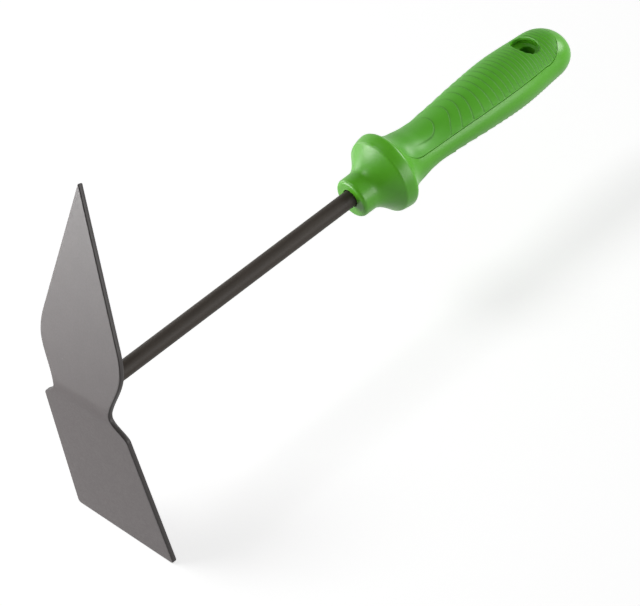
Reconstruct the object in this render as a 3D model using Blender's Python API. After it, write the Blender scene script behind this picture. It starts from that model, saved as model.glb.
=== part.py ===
"""Hand hoe cultivator: one bent steel plate with a pointed and a square blade, a round steel shank
welded to its back, and a moulded plastic handle with a ribbed insert in its top and its underside.

The shank runs along Y, from the plate to the butt of the handle. The pointed blade stands up (+Z),
the square blade hangs down to its cutting edge at Z = 0, and X runs across the blades. Each
piece is drawn about the shank's axis, from the plate's front, and its location puts the part's
origin below the middle of its length, level with the cutting edge.
"""

import math

import bmesh
import bpy

MM = 0.001
GAP = 0.3 * MM  # clearance left between pieces that touch

# Plate: lengths are measured along the plate from its bend line
PLATE_THICKNESS = 2.4 * MM
PLATE_ARRIS = 0.5 * MM
BEND_ANGLE = math.radians(18.0)
BEND_LENGTH = 9.0 * MM
SECTION_PITCH = 20.0 * MM
WAIST_PITCH = 1.2 * MM  # between sections where the outline curves
NECK_HALF_WIDTH = 19.6 * MM
NECK_AT = 1.0 * MM
POINT_LENGTH = 104.2 * MM
POINT_HALF_WIDTH = 27.7 * MM
POINT_WIDEST_AT = 24.0 * MM
POINT_SWELL_EASE = 0.85
POINT_TAPER_FROM = 35.0 * MM
POINT_TAPER = 0.3665  # half width lost along the straight sides, per length
POINT_APEX_AT = 105.2 * MM  # where the straight sides would meet
POINT_TIP_RADIUS = 1.1 * MM
POINT_TIP_FLAT = 0.35 * MM
POINT_TIP_TURNS = (20, 45)
SQUARE_LENGTH = 79.8 * MM
SQUARE_SHOULDER_AT = 9.5 * MM
SQUARE_SHOULDER_HALF_WIDTH = 28.9 * MM
SQUARE_SHOULDER_EASE = 1.3
SQUARE_EDGE_HALF_WIDTH = 34.1 * MM
SQUARE_CORNER_RADIUS = 2.0 * MM
SQUARE_CORNER_TURNS = (60, 40, 20, 0)

# Shank and its tang, which is pinched flat twice so that the handle can't turn on it
SHANK_RADIUS = 4.0 * MM
SHANK_END = 256.0 * MM
SHANK_CHAMFER = 0.8 * MM
SHANK_SIDES = 28
PINCHES = (196.0 * MM, 232.0 * MM)
PINCH_LENGTH = 20.0 * MM
PINCH_FLAT_SHARE = 0.2
PINCH_HALF_WIDTH = 5.9 * MM
PINCH_HALF_HEIGHT = 2.7 * MM

# Fillet weld round the shank, on the plate's back
WELD_LEG = 3.6 * MM
WELD_RISE = 0.8 * MM  # the plate bends back over the shank, and the weld stands that much taller
WELD_LIP = 0.4 * MM
WELD_SWELL = 0.35 * MM
WELD_SIDES = 36

# Slab that trims the shank and the weld to the plate's back
TRIM_HALF_WIDTH = 14.0 * MM
TRIM_REACH = 14.0 * MM
TRIM_FRONT = -3.0 * MM
TRIM_PITCH = 1.5 * MM

# Handle: neck, horn and rim are turned forms, the grip is oval
HANDLE_SIDES = 40
NECK_FACE = 162.4 * MM
NECK_RADIUS = 9.1 * MM
NECK_ROUND = 1.9 * MM
BORE_MOUTH_RADIUS = 4.5 * MM
BORE_MOUTH_DEPTH = 7.0 * MM
HORN_START = (169.0 * MM, 9.45 * MM)  # place and radius, as in the three lines that follow
HORN_FOOT = (173.0 * MM, 11.5 * MM)
HORN_FACE = (177.6 * MM, 15.8 * MM)
HORN_EDGE = (181.8 * MM, 18.15 * MM)
HORN_HOLLOW = 0.35 * MM
HORN_SWELL = 0.4 * MM
RIM_FRONT = (182.3 * MM, 18.55 * MM)
RIM_BACK = (187.5 * MM, 18.6 * MM)
RIM_CROWN = 0.5 * MM
FILLET_START = (188.2 * MM, 18.05 * MM)
FILLET_FALL = -11.5 * MM  # how steeply the rim's back drops to the grip
GRIP_START_EASE = 1.6
GRIP_START = 198.0 * MM
GRIP_PITCH = 4.4 * MM
BUTT_ROUND_FROM = 284.0 * MM
BUTT_END = 299.8 * MM
BUTT_FULLNESS = 2.4
BUTT_LEAN = 0.045
BUTT_TURNS = (20, 38, 54, 67, 77, 85)
# Stations along the grip: place, half width and half height
GRIP_STATIONS = (
    (GRIP_START, 13.5 * MM, 12.4 * MM),
    (204.0 * MM, 13.1 * MM, 10.9 * MM),
    (212.0 * MM, 13.0 * MM, 10.35 * MM),
    (224.0 * MM, 13.8 * MM, 10.7 * MM),
    (240.0 * MM, 15.3 * MM, 11.8 * MM),
    (262.0 * MM, 16.5 * MM, 12.7 * MM),
    (BUTT_ROUND_FROM, 15.1 * MM, 11.6 * MM),
)

# Ribbed inserts, let into the handle on both faces
INSERT_SIDES = 36
INSERT_FRONT = 191.5 * MM
INSERT_FRONT_ROUND = 9.5 * MM
INSERT_FRONT_NARROWING = 0.42
INSERT_BUTT = 293.2 * MM
INSERT_BUTT_ROUND_FROM = 277.0 * MM
INSERT_BUTT_FULLNESS = 2.3
INSERT_BUTT_TURNS = (18, 34, 48, 60, 70, 78, 84, 88)
INSERT_WIDTH_SHARE = 0.915
INSERT_LOWEST = 2.9 * MM
INSERT_THICKNESS = 1.9 * MM
BLOCK_REACH = 30.0 * MM
BLOCK_PITCH = 6.0 * MM
SECTIONS_BEFORE_RIBS = (188.7 * MM, 191.0 * MM, 193.5 * MM, 197.0 * MM, 202.0 * MM, 208.0 * MM)
SECTIONS_AFTER_RIBS = (296.2 * MM, 298.8 * MM)
RECESS_SIDES = 32
RECESS_FRONT_STEPS = (0.0, 2.5 * MM, 5.5 * MM)
RECESS_PITCH = 8.0 * MM
RECESS_LAST_TURN = 77

# Ribs: each band of an insert rises to a lip at its end and drops behind it, like a scale. They are
# wide apart by the rim and close together by the butt.
RIB_FIRST = 217.0 * MM
RIB_LAST = 291.0 * MM
RIB_WIDE_PITCH = 8.0 * MM
RIB_FINE_PITCH = 2.05 * MM
RIBS_CLOSE_UP_FROM = 236.0 * MM
RIBS_CLOSE_UP_TO = 274.0 * MM
RIB_HEIGHT = 0.35 * MM
RIB_DROP = 0.3 * MM
RIB_LIP = 2.0 * MM
RIB_FIRST_BOW = 38.0  # drop of a rib towards its ends, in metres per metre of width squared
RIB_LAST_BOW = 6.0
RIB_LAST_BOW_AT = 245.0 * MM

# Hanging hole, stepped to a narrower throat in its middle
HOLE_AT = 279.3 * MM
HOLE_HALF_WIDTH = 7.2 * MM
HOLE_HALF_LENGTH = 5.0 * MM
HOLE_REACH = 20.0 * MM
HOLE_SIDES = 32
THROAT_HALF_WIDTH = 4.2 * MM
THROAT_HALF_LENGTH = 3.1 * MM
STEP_OUTER = 7.5 * MM
STEP_INNER = 4.5 * MM

# Where the shank's axis meets the plate's front
AXIS_START = (0.0, -BUTT_END / 2.0, SQUARE_LENGTH)


def clear_scene():
    for item in list(bpy.data.objects):
        bpy.data.objects.remove(item, do_unlink=True)


def material(name, colour, roughness, metallic=0.0):
    made = bpy.data.materials.new(name)
    made.use_nodes = True
    shader = made.node_tree.nodes["Principled BSDF"]
    shader.inputs["Base Color"].default_value = (*colour, 1.0)
    shader.inputs["Roughness"].default_value = roughness
    shader.inputs["Metallic"].default_value = metallic
    made.diffuse_color = (*colour, 1.0)
    return made


def add_object(name, vertices, faces, finish=None, sharp_angle=30.0):
    """Mesh object from points about the shank's axis."""
    mesh = bpy.data.meshes.new(name)
    mesh.from_pydata(vertices, [], faces)
    work = bmesh.new()
    work.from_mesh(mesh)
    bmesh.ops.recalc_face_normals(work, faces=work.faces)
    work.to_mesh(mesh)
    work.free()
    mesh.shade_smooth()
    mesh.set_sharp_from_angle(angle=math.radians(sharp_angle))
    made = bpy.data.objects.new(name, mesh)
    made.location = AXIS_START
    bpy.context.scene.collection.objects.link(made)
    if finish is not None:
        mesh.materials.append(finish)
    return made


def loft(rings):
    """Joins rings of equally many points into one closed skin with a flat cap at each end."""
    count = len(rings[0])
    vertices = [point for ring in rings for point in ring]
    faces = [tuple(reversed(range(count)))]
    for k in range(len(rings) - 1):
        here, there = k * count, (k + 1) * count
        for j in range(count):
            turn = (j + 1) % count
            faces.append((here + j, here + turn, there + turn, there + j))
    faces.append(tuple(range((len(rings) - 1) * count, len(rings) * count)))
    return vertices, faces


def turned(profile, sides):
    """Closed ring turned about the Y axis from a closed profile of (y, radius) points."""
    vertices, faces = [], []
    for j in range(sides):
        angle = 2.0 * math.pi * j / sides
        vertices += [(r * math.cos(angle), y, r * math.sin(angle)) for y, r in profile]
    count = len(profile)
    for j in range(sides):
        here, there = j * count, ((j + 1) % sides) * count
        for k in range(count):
            turn = (k + 1) % count
            faces.append((here + k, here + turn, there + turn, there + k))
    return vertices, faces


def oval(y, half_width, half_height, sides, phase=0.0):
    angles = [2.0 * math.pi * (j + phase) / sides for j in range(sides)]
    return [(half_width * math.cos(t), y, half_height * math.sin(t)) for t in angles]


def bow(start, end, sag, steps):
    """Points of a shallow curve between two profile points, raised by sag, without its start."""
    run = (end[0] - start[0], end[1] - start[1])
    length = math.hypot(*run)
    out = (-run[1] / length, run[0] / length)
    points = []
    for k in range(1, steps + 1):
        t = k / steps
        lift = 4.0 * sag * t * (1.0 - t)
        points.append((start[0] + run[0] * t + out[0] * lift,
                       start[1] + run[1] * t + out[1] * lift))
    return points


def smooth_step(t):
    t = min(max(t, 0.0), 1.0)
    return t * t * (3.0 - 2.0 * t)


def superellipse(t, fullness):
    """Falls from 1 at t = 0 to 0 at t = 1, as the side of a rounded end does."""
    return (1.0 - min(t, 1.0) ** fullness) ** (1.0 / fullness)


def hermite(p0, p1, m0, m1, t):
    """Cubic through p0 and p1 with end slopes m0 and m1, for t from 0 to 1."""
    t2, t3 = t * t, t * t * t
    start = (2 * t3 - 3 * t2 + 1) * p0 + (t3 - 2 * t2 + t) * m0
    end = (3 * t2 - 2 * t3) * p1 + (t3 - t2) * m1
    return start + end


def along(stations, column, y):
    """Smooth value of one column of the stations at y."""
    places = [row[0] for row in stations]
    values = [row[column] for row in stations]

    def slope(k):
        k0, k1 = max(k - 1, 0), min(k + 1, len(places) - 1)
        return (values[k1] - values[k0]) / (places[k1] - places[k0])

    k = 0
    while k < len(places) - 2 and y > places[k + 1]:
        k += 1
    span = places[k + 1] - places[k]
    t = min(max((y - places[k]) / span, 0.0), 1.0)
    return hermite(values[k], values[k + 1], slope(k) * span, slope(k + 1) * span, t)


def steps_between(start, end, pitch):
    """Even places from start to end, about a pitch apart, without the start."""
    count = max(1, round(abs(end - start) / pitch))
    return [start + (end - start) * k / count for k in range(1, count + 1)]


def subtract(target, cutter):
    use_boolean(target, cutter, "DIFFERENCE")


def keep_common(target, cutter):
    use_boolean(target, cutter, "INTERSECT")


def use_boolean(target, cutter, operation):
    cutter.hide_render = True
    cutter.display_type = "WIRE"
    modifier = target.modifiers.new(operation.title(), "BOOLEAN")
    modifier.operation = operation
    modifier.solver = "EXACT"
    modifier.object = cutter


# The plate


def taper_half_width(t):
    return (POINT_APEX_AT - t) * POINT_TAPER


def point_half_width(t):
    """Half width of the pointed blade, t along it from the bend line."""
    if t <= POINT_WIDEST_AT:
        rise = smooth_step((t - NECK_AT) / (POINT_WIDEST_AT - NECK_AT)) ** POINT_SWELL_EASE
        return NECK_HALF_WIDTH + (POINT_HALF_WIDTH - NECK_HALF_WIDTH) * rise
    if t <= POINT_TAPER_FROM:
        span = POINT_TAPER_FROM - POINT_WIDEST_AT
        end = taper_half_width(POINT_TAPER_FROM)
        return hermite(POINT_HALF_WIDTH, end, 0.0, -POINT_TAPER * span, (t - POINT_WIDEST_AT) / span)
    centre = POINT_LENGTH - POINT_TIP_RADIUS
    if t <= centre:
        return taper_half_width(t)
    rounded = math.sqrt(max(POINT_TIP_RADIUS ** 2 - (t - centre) ** 2, 0.0))
    return min(taper_half_width(t), rounded)


def square_half_width(t):
    """Half width of the square blade, t along it from the bend line towards the cutting edge."""
    if t < SQUARE_SHOULDER_AT:
        rise = smooth_step((t + NECK_AT) / (SQUARE_SHOULDER_AT + NECK_AT)) ** SQUARE_SHOULDER_EASE
        return NECK_HALF_WIDTH + (SQUARE_SHOULDER_HALF_WIDTH - NECK_HALF_WIDTH) * rise
    share = (t - SQUARE_SHOULDER_AT) / (SQUARE_LENGTH - SQUARE_SHOULDER_AT)
    side = SQUARE_SHOULDER_HALF_WIDTH + (SQUARE_EDGE_HALF_WIDTH - SQUARE_SHOULDER_HALF_WIDTH) * share
    beyond = t - (SQUARE_LENGTH - SQUARE_CORNER_RADIUS)
    if beyond > 0.0:
        side -= SQUARE_CORNER_RADIUS - math.sqrt(max(SQUARE_CORNER_RADIUS ** 2 - beyond ** 2, 0.0))
    return side


def plate_place(t, depth):
    """Y and Z of a point of the bent plate, t along it (up is positive) and depth behind its front."""
    half = BEND_LENGTH / 2.0
    if t <= -half:
        return depth, t
    turn = BEND_ANGLE * min((t + half) / BEND_LENGTH, 1.0)
    radius = BEND_LENGTH / BEND_ANGLE
    straight = max(t - half, 0.0)
    y = radius * (1.0 - math.cos(turn)) + straight * math.sin(turn)
    z = -half + radius * math.sin(turn) + straight * math.cos(turn)
    return y + depth * math.cos(turn), z - depth * math.sin(turn)


def plate_ring(t, half_width, inset=0.0):
    """Section of the plate across X, with its arrises taken off."""
    flat = half_width - min(PLATE_ARRIS, 0.45 * half_width)
    shallow, deep = inset, PLATE_THICKNESS - inset
    near, far = PLATE_ARRIS, PLATE_THICKNESS - PLATE_ARRIS
    outline = [
        (-flat, shallow), (0.0, shallow), (flat, shallow), (half_width, near), (half_width, far),
        (flat, deep), (0.0, deep), (-flat, deep), (-half_width, far), (-half_width, near),
    ]
    return [(x, *plate_place(t, depth)) for x, depth in outline]


def make_blade():
    places = [-SQUARE_LENGTH + SQUARE_CORNER_RADIUS * (1.0 - math.sin(math.radians(turn)))
              for turn in SQUARE_CORNER_TURNS]
    places += steps_between(places[-1], -SQUARE_SHOULDER_AT - WAIST_PITCH, SECTION_PITCH)
    places += steps_between(places[-1], POINT_TAPER_FROM, WAIST_PITCH)
    tip = POINT_LENGTH - POINT_TIP_RADIUS
    places += steps_between(places[-1], tip, SECTION_PITCH)
    places += [tip + POINT_TIP_RADIUS * math.sin(math.radians(turn)) for turn in POINT_TIP_TURNS]
    edge_half_width = square_half_width(SQUARE_LENGTH - PLATE_ARRIS)
    rings = [plate_ring(-SQUARE_LENGTH, edge_half_width, PLATE_ARRIS)]
    for t in places:
        half_width = square_half_width(-t) if t < 0.0 else point_half_width(t)
        rings.append(plate_ring(t, half_width))
    rings.append(plate_ring(POINT_LENGTH, POINT_TIP_FLAT, PLATE_ARRIS))
    steel = material("powder_coated_steel", (0.20, 0.19, 0.185), 0.45, 0.6)
    return add_object("blade", *loft(rings), steel)


def plate_clearance(name):
    """Slab that follows the middle of the bent plate, thicker by the gap."""
    back = PLATE_THICKNESS + GAP
    outline = [(-TRIM_HALF_WIDTH, TRIM_FRONT), (TRIM_HALF_WIDTH, TRIM_FRONT),
               (TRIM_HALF_WIDTH, back), (-TRIM_HALF_WIDTH, back)]
    bend = steps_between(-BEND_LENGTH / 2.0, BEND_LENGTH / 2.0, TRIM_PITCH)
    rings = []
    for t in [-TRIM_REACH, *bend, TRIM_REACH]:
        rings.append([(x, *plate_place(t, depth)) for x, depth in outline])
    return add_object(name, *loft(rings))


# The shank and its weld


def shank_rings(clearance):
    """Sections of the shank. The handle's cavity is the same form with its clearance added."""
    def section(y, half_width, half_height):
        return oval(y, half_width + clearance, half_height + clearance, SHANK_SIDES, 0.5)

    rings = [section(0.0, SHANK_RADIUS, SHANK_RADIUS)]
    for middle in PINCHES:
        for k in range(-4, 5):
            place = k / 4.0
            pinch = 1.0 - smooth_step((abs(place) - PINCH_FLAT_SHARE) / (1.0 - PINCH_FLAT_SHARE))
            rings.append(section(middle + place * PINCH_LENGTH / 2.0,
                                 SHANK_RADIUS + (PINCH_HALF_WIDTH - SHANK_RADIUS) * pinch,
                                 SHANK_RADIUS + (PINCH_HALF_HEIGHT - SHANK_RADIUS) * pinch))
    end, end_radius = SHANK_END + clearance, SHANK_RADIUS - SHANK_CHAMFER
    rings.append(section(end - SHANK_CHAMFER, SHANK_RADIUS, SHANK_RADIUS))
    rings.append(section(end, end_radius, end_radius))
    return rings


def make_shank():
    steel = material("black_steel", (0.05, 0.046, 0.042), 0.42, 0.7)
    shank = add_object("shank", *loft(shank_rings(0.0)), steel)
    subtract(shank, plate_clearance("shank_trim"))
    return shank


def make_weld():
    """Ring of weld metal in the corner between the plate and the shank, swollen on its face."""
    inner = SHANK_RADIUS + GAP
    foot = PLATE_THICKNESS + GAP
    toe = (foot, inner + WELD_LEG)
    crest = (foot + WELD_LEG + WELD_RISE, inner + WELD_LIP)
    profile = [(0.0, inner), (0.0, toe[1]), toe]
    profile += bow(toe, crest, WELD_SWELL, 5)
    profile.append((crest[0], inner))
    metal = material("weld_metal", (0.06, 0.055, 0.05), 0.55, 0.6)
    weld = add_object("weld_bead", *turned(profile, WELD_SIDES), metal)
    subtract(weld, plate_clearance("weld_trim"))
    return weld


# The handle


def turned_profile():
    """(y, radius) points of the handle from its neck to the fillet behind its rim."""
    points = [(NECK_FACE, NECK_RADIUS - NECK_ROUND)]
    for k in range(1, 5):
        turn = math.radians(90.0 * k / 4)
        points.append((NECK_FACE + NECK_ROUND * (1.0 - math.cos(turn)),
                       NECK_RADIUS - NECK_ROUND + NECK_ROUND * math.sin(turn)))
    points.append(HORN_START)
    points += bow(HORN_START, HORN_FOOT, -HORN_HOLLOW, 3)
    points.append(HORN_FACE)
    points += bow(HORN_FACE, HORN_EDGE, HORN_SWELL, 3)
    points.append(RIM_FRONT)
    points += bow(RIM_FRONT, RIM_BACK, RIM_CROWN, 4)
    return points


def grip_half_sizes(y):
    """Half width and half height of the handle at y, from the fillet behind the rim to the butt."""
    if y < GRIP_START:
        place, radius = FILLET_START
        t = (y - place) / (GRIP_START - place)
        sizes = []
        for column in (1, 2):
            start = GRIP_STATIONS[0][column]
            slope = (GRIP_STATIONS[1][column] - start) * GRIP_START_EASE
            sizes.append(hermite(radius, start, FILLET_FALL, slope, t))
        return sizes
    width = along(GRIP_STATIONS, 1, min(y, BUTT_ROUND_FROM))
    height = along(GRIP_STATIONS, 2, min(y, BUTT_ROUND_FROM))
    if y > BUTT_ROUND_FROM:
        t = (y - BUTT_ROUND_FROM) / (BUTT_END - BUTT_ROUND_FROM)
        share = superellipse(t, BUTT_FULLNESS) * (1.0 - BUTT_LEAN * t)
        return [width * share, height * share]
    return [width, height]


def grip_places(start, pitch, last_turn=90):
    """Places of sections from start to the butt, closer together where the butt turns in."""
    places = steps_between(start, BUTT_ROUND_FROM, pitch)
    for turn in BUTT_TURNS:
        if turn <= last_turn:
            places.append(BUTT_ROUND_FROM + (BUTT_END - BUTT_ROUND_FROM) * math.sin(math.radians(turn)))
    return places


def recess_floor(name, inset):
    """The grip's form shrunk by inset, ended before the butt's skin gets too thin."""
    places = [FILLET_START[0] + step for step in RECESS_FRONT_STEPS]
    places += grip_places(places[-1], RECESS_PITCH, RECESS_LAST_TURN)
    rings = []
    for y in places:
        width, height = grip_half_sizes(y)
        rings.append(oval(y, width - inset, height - inset, RECESS_SIDES))
    return add_object(name, *loft(rings))


def insert_half_width(y):
    """Half width, in plan, of an insert's outline at y."""
    if y > INSERT_BUTT_ROUND_FROM:
        t = (y - INSERT_BUTT_ROUND_FROM) / (INSERT_BUTT - INSERT_BUTT_ROUND_FROM)
        widest = INSERT_WIDTH_SHARE * grip_half_sizes(INSERT_BUTT_ROUND_FROM)[0]
        return widest * superellipse(t, INSERT_BUTT_FULLNESS)
    side = INSERT_WIDTH_SHARE * grip_half_sizes(max(y, GRIP_START))[0]
    t = min((y - INSERT_FRONT) / INSERT_FRONT_ROUND, 1.0)
    return side * (1.0 - INSERT_FRONT_NARROWING * (1.0 - t) ** 2)


def insert_block(name, side, growth):
    """Upright block with an insert's outline, on the upper (1) or lower (-1) side of the handle."""
    places = [INSERT_FRONT + INSERT_FRONT_ROUND * k / 5 for k in range(6)]
    places += steps_between(places[-1], INSERT_BUTT_ROUND_FROM, BLOCK_PITCH)
    for turn in INSERT_BUTT_TURNS:
        length = INSERT_BUTT - INSERT_BUTT_ROUND_FROM
        places.append(INSERT_BUTT_ROUND_FROM + length * math.sin(math.radians(turn)))
    right = [(insert_half_width(y) + growth, y) for y in places]
    right[0] = (right[0][0], right[0][1] - growth)
    right[-1] = (right[-1][0], right[-1][1] + growth)
    outline = right + [(-x, y) for x, y in reversed(right)]
    low, high = side * (INSERT_LOWEST - growth), side * BLOCK_REACH
    return add_object(name, *loft([[(x, y, z) for x, y in outline] for z in (low, high)]))


def rib_places():
    """Places of the ribs' lips on the middle line of the grip."""
    places = [RIB_FIRST]
    while places[-1] < RIB_LAST:
        closing = (places[-1] - RIBS_CLOSE_UP_FROM) / (RIBS_CLOSE_UP_TO - RIBS_CLOSE_UP_FROM)
        pitch = RIB_WIDE_PITCH + (RIB_FINE_PITCH - RIB_WIDE_PITCH) * smooth_step(closing)
        places.append(places[-1] + pitch)
    return places[:-1]


def rib_bow(place):
    """How strongly a section at this place is bowed: most at the first rib, little near the butt."""
    if place <= RIB_FIRST:
        start = RIM_BACK[0]
        return RIB_FIRST_BOW * smooth_step((place - start) / (RIB_FIRST - start))
    easing = smooth_step((place - RIB_FIRST) / (RIB_LAST_BOW_AT - RIB_FIRST))
    return RIB_FIRST_BOW + (RIB_LAST_BOW - RIB_FIRST_BOW) * easing


def insert_section(place, depth):
    """Section of an insert's outer face. It leans towards the rim at its sides, as the ribs do."""
    ring = []
    for j in range(INSERT_SIDES):
        angle = 2.0 * math.pi * j / INSERT_SIDES
        x = grip_half_sizes(place)[0] * math.cos(angle)
        y = max(place - rib_bow(place) * x * x, FILLET_START[0])
        width, height = grip_half_sizes(y)
        ring.append(((width - depth) * math.cos(angle), y, (height - depth) * math.sin(angle)))
    return ring


def insert_form(name, finish):
    """The grip's outer form with the ribs, which rise to their lips and drop behind them."""
    sections = [(place, 0.0) for place in SECTIONS_BEFORE_RIBS]
    foot = SECTIONS_BEFORE_RIBS[-1]
    for rib in rib_places():
        if foot > RIB_FIRST and rib - foot > 2.0 * RIB_LIP:
            sections.append((rib - RIB_LIP, RIB_HEIGHT))
        sections.append((rib, 0.0))
        foot = rib + RIB_DROP
        sections.append((foot, RIB_HEIGHT))
    sections += [(place, RIB_HEIGHT) for place in SECTIONS_AFTER_RIBS]
    return add_object(name, *loft([insert_section(*section) for section in sections]), finish)


def hole_cutter(name):
    """Form of the hanging hole: wide at both faces, stepped down to a throat in the middle."""
    wide = (HOLE_HALF_WIDTH, HOLE_HALF_LENGTH)
    narrow = (THROAT_HALF_WIDTH, THROAT_HALF_LENGTH)
    levels = [(-HOLE_REACH, wide), (-STEP_OUTER, wide), (-STEP_INNER, narrow),
              (STEP_INNER, narrow), (STEP_OUTER, wide), (HOLE_REACH, wide)]
    angles = [2.0 * math.pi * j / HOLE_SIDES for j in range(HOLE_SIDES)]
    rings = []
    for z, (half_width, half_length) in levels:
        rings.append([(half_width * math.cos(t), HOLE_AT + half_length * math.sin(t), z)
                      for t in angles])
    return add_object(name, *loft(rings))


def make_handle(green):
    rings = [oval(y, r, r, HANDLE_SIDES) for y, r in turned_profile()]
    for y in [FILLET_START[0], *grip_places(FILLET_START[0], GRIP_PITCH)]:
        rings.append(oval(y, *grip_half_sizes(y), HANDLE_SIDES))
    handle = add_object("handle", *loft(rings), green)

    subtract(handle, add_object("tang_cavity", *loft(shank_rings(GAP))))
    mouth = [oval(y, BORE_MOUTH_RADIUS, BORE_MOUTH_RADIUS, SHANK_SIDES, 0.5)
             for y in (NECK_FACE - BORE_MOUTH_DEPTH, NECK_FACE + BORE_MOUTH_DEPTH)]
    subtract(handle, add_object("bore_mouth", *loft(mouth)))
    for side, word in ((1, "upper"), (-1, "lower")):
        recess = insert_block(word + "_recess", side, GAP)
        subtract(recess, recess_floor(word + "_recess_floor", INSERT_THICKNESS + GAP))
        subtract(handle, recess)
    subtract(handle, hole_cutter("hanging_hole"))
    return handle


def make_insert(name, side, green):
    insert = insert_form(name, green)
    keep_common(insert, insert_block(name + "_outline", side, 0.0))
    subtract(insert, recess_floor(name + "_inside", INSERT_THICKNESS))
    subtract(insert, hole_cutter(name + "_hole"))
    return insert


def main():
    clear_scene()
    hard_green = material("green_plastic", (0.13, 0.34, 0.045), 0.38)
    insert_green = material("insert_green_plastic", (0.12, 0.32, 0.05), 0.5)
    make_blade()
    make_shank()
    make_weld()
    make_handle(hard_green)
    make_insert("grip_insert_upper", 1, insert_green)
    make_insert("grip_insert_lower", -1, insert_green)


main()
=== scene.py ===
"""Dresses the frame of a hand hoe cultivator: finished pieces with fine edges, ribs, a weld and
procedural finishes, on a pale floor in soft light.

Lengths are in metres in the frame of the model. Each piece is drawn about the shank's axis, from the
front of the plate, and moved to its place in its mesh.
"""

import functools
import math

import bmesh
import bpy
from bpy.props import FloatProperty, FloatVectorProperty, IntProperty, PointerProperty
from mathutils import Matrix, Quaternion, Vector


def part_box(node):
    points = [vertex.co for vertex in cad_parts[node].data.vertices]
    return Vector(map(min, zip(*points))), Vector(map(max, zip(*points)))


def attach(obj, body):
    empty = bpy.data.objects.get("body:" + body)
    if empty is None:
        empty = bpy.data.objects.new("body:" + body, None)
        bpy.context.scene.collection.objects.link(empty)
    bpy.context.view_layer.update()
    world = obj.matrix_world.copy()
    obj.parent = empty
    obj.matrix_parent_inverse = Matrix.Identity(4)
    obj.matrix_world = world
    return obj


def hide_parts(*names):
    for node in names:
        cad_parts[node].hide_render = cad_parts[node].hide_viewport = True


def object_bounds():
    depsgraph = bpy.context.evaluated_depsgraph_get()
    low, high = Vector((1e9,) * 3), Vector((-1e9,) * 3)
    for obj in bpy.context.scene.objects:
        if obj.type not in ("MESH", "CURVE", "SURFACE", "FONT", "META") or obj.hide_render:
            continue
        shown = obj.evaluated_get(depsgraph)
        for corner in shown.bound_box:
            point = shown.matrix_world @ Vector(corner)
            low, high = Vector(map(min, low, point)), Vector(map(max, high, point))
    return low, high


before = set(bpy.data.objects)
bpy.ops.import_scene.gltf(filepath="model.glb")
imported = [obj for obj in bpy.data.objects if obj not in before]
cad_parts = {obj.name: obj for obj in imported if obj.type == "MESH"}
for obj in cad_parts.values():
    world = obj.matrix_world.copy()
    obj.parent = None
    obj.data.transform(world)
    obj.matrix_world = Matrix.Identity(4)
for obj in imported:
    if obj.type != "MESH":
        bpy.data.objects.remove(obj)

bl_info = {
    "name": "Hand hoe cultivator",
    "version": (1, 0, 0),
    "blender": (4, 5, 0),
    "location": "3D View > Sidebar > Hoe",
    "description": "Makes the finished pieces of a hand hoe cultivator and the stage it is shown on",
    "category": "Object",
}

MM = 0.001
CAD_LOW, CAD_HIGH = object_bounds()
BLADE_LOW, BLADE_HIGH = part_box("blade")
SHANK_LOW, SHANK_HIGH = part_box("shank")
HANDLE_LOW, HANDLE_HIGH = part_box("handle")
AXIS_START = Vector((0.0, BLADE_LOW.y, (SHANK_LOW.z + SHANK_HIGH.z) / 2.0))
CLEARANCE = 0.3 * MM  # round the tang and under the inserts
TOUCHING = CLEARANCE / 3.0  # between the plate and what stands on it

# The plate's outline: lengths run along the plate from its bend line
SQUARE_LENGTH = AXIS_START.z - BLADE_LOW.z
POINT_LENGTH = 104.2 * MM
POINT_HALF_WIDTH = 27.7 * MM
POINT_WIDEST_AT = 24.0 * MM
POINT_SWELL_EASE = 0.85
POINT_TAPER_FROM = 35.0 * MM
POINT_TAPER = 0.3665  # half width lost along the straight sides, per length
POINT_APEX_AT = 105.2 * MM  # where the straight sides would meet
POINT_TIP_RADIUS = 1.1 * MM
NECK_HALF_WIDTH = 19.6 * MM
NECK_AT = 1.0 * MM
SHOULDER_AT = 9.5 * MM
SHOULDER_HALF_WIDTH = 28.9 * MM
SHOULDER_EASE = 1.3
EDGE_HALF_WIDTH = BLADE_HIGH.x

# The plate's mesh
FACE_STRIPS = 30
FACE_CROWDING = 1.3  # above 1, the strips of a face get narrower towards the sides
ARRIS_STEPS = 5
ARRIS_SHARE = 0.8  # of the half width, at most, is taken by an arris
STEEPEST = 2.0  # up to this slope of the outline, an arris gets wider with it
EDGE_SHADE_SHARE = 0.8  # of an arris's reach at the ends also takes the edge's painted shade
PLATE_PITCH = 2.5 * MM
WAIST_PITCH = 0.5 * MM
WAIST_MARGIN = 1.0 * MM  # before the shoulders, where the sections get closer
TIP_FLAT = 0.004 * MM
HALVINGS = 40  # enough to find a place on the plate's back exactly

# The tang inside the handle
SHANK_END = SHANK_HIGH.y - AXIS_START.y
SHANK_CHAMFER = 0.8 * MM
SHANK_SIDES = 72
SHANK_PITCH = 6.0 * MM
TANG_START = 10.0 * MM  # beyond the neck's face
PINCHES = (196.0 * MM, 232.0 * MM)
PINCH_STEPS = 8
PINCH_FLAT_SHARE = 0.2
PINCH_LENGTH = 20.0 * MM
PINCH_HALF_WIDTH = 5.9 * MM
PINCH_HALF_HEIGHT = 2.7 * MM

# The weld round the shank's foot
WELD_SIDES = 264
WELD_STEPS = 12
WELD_LIP = 0.25 * MM
WELD_WOBBLES = ((3.0, 0.7, 0.12 * MM), (7.0, 0.0, 0.08 * MM))  # waves round the bar, phase and size
RIPPLE_HEIGHT = 0.16 * MM
RIPPLE_LAG = 0.55  # how far a ripple trails in the middle of the weld's face, in ripples
RIPPLE_FULLNESS = 1.6
SWELL_SHARE = 0.7  # of a swell goes outwards, and as much along the bar

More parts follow.
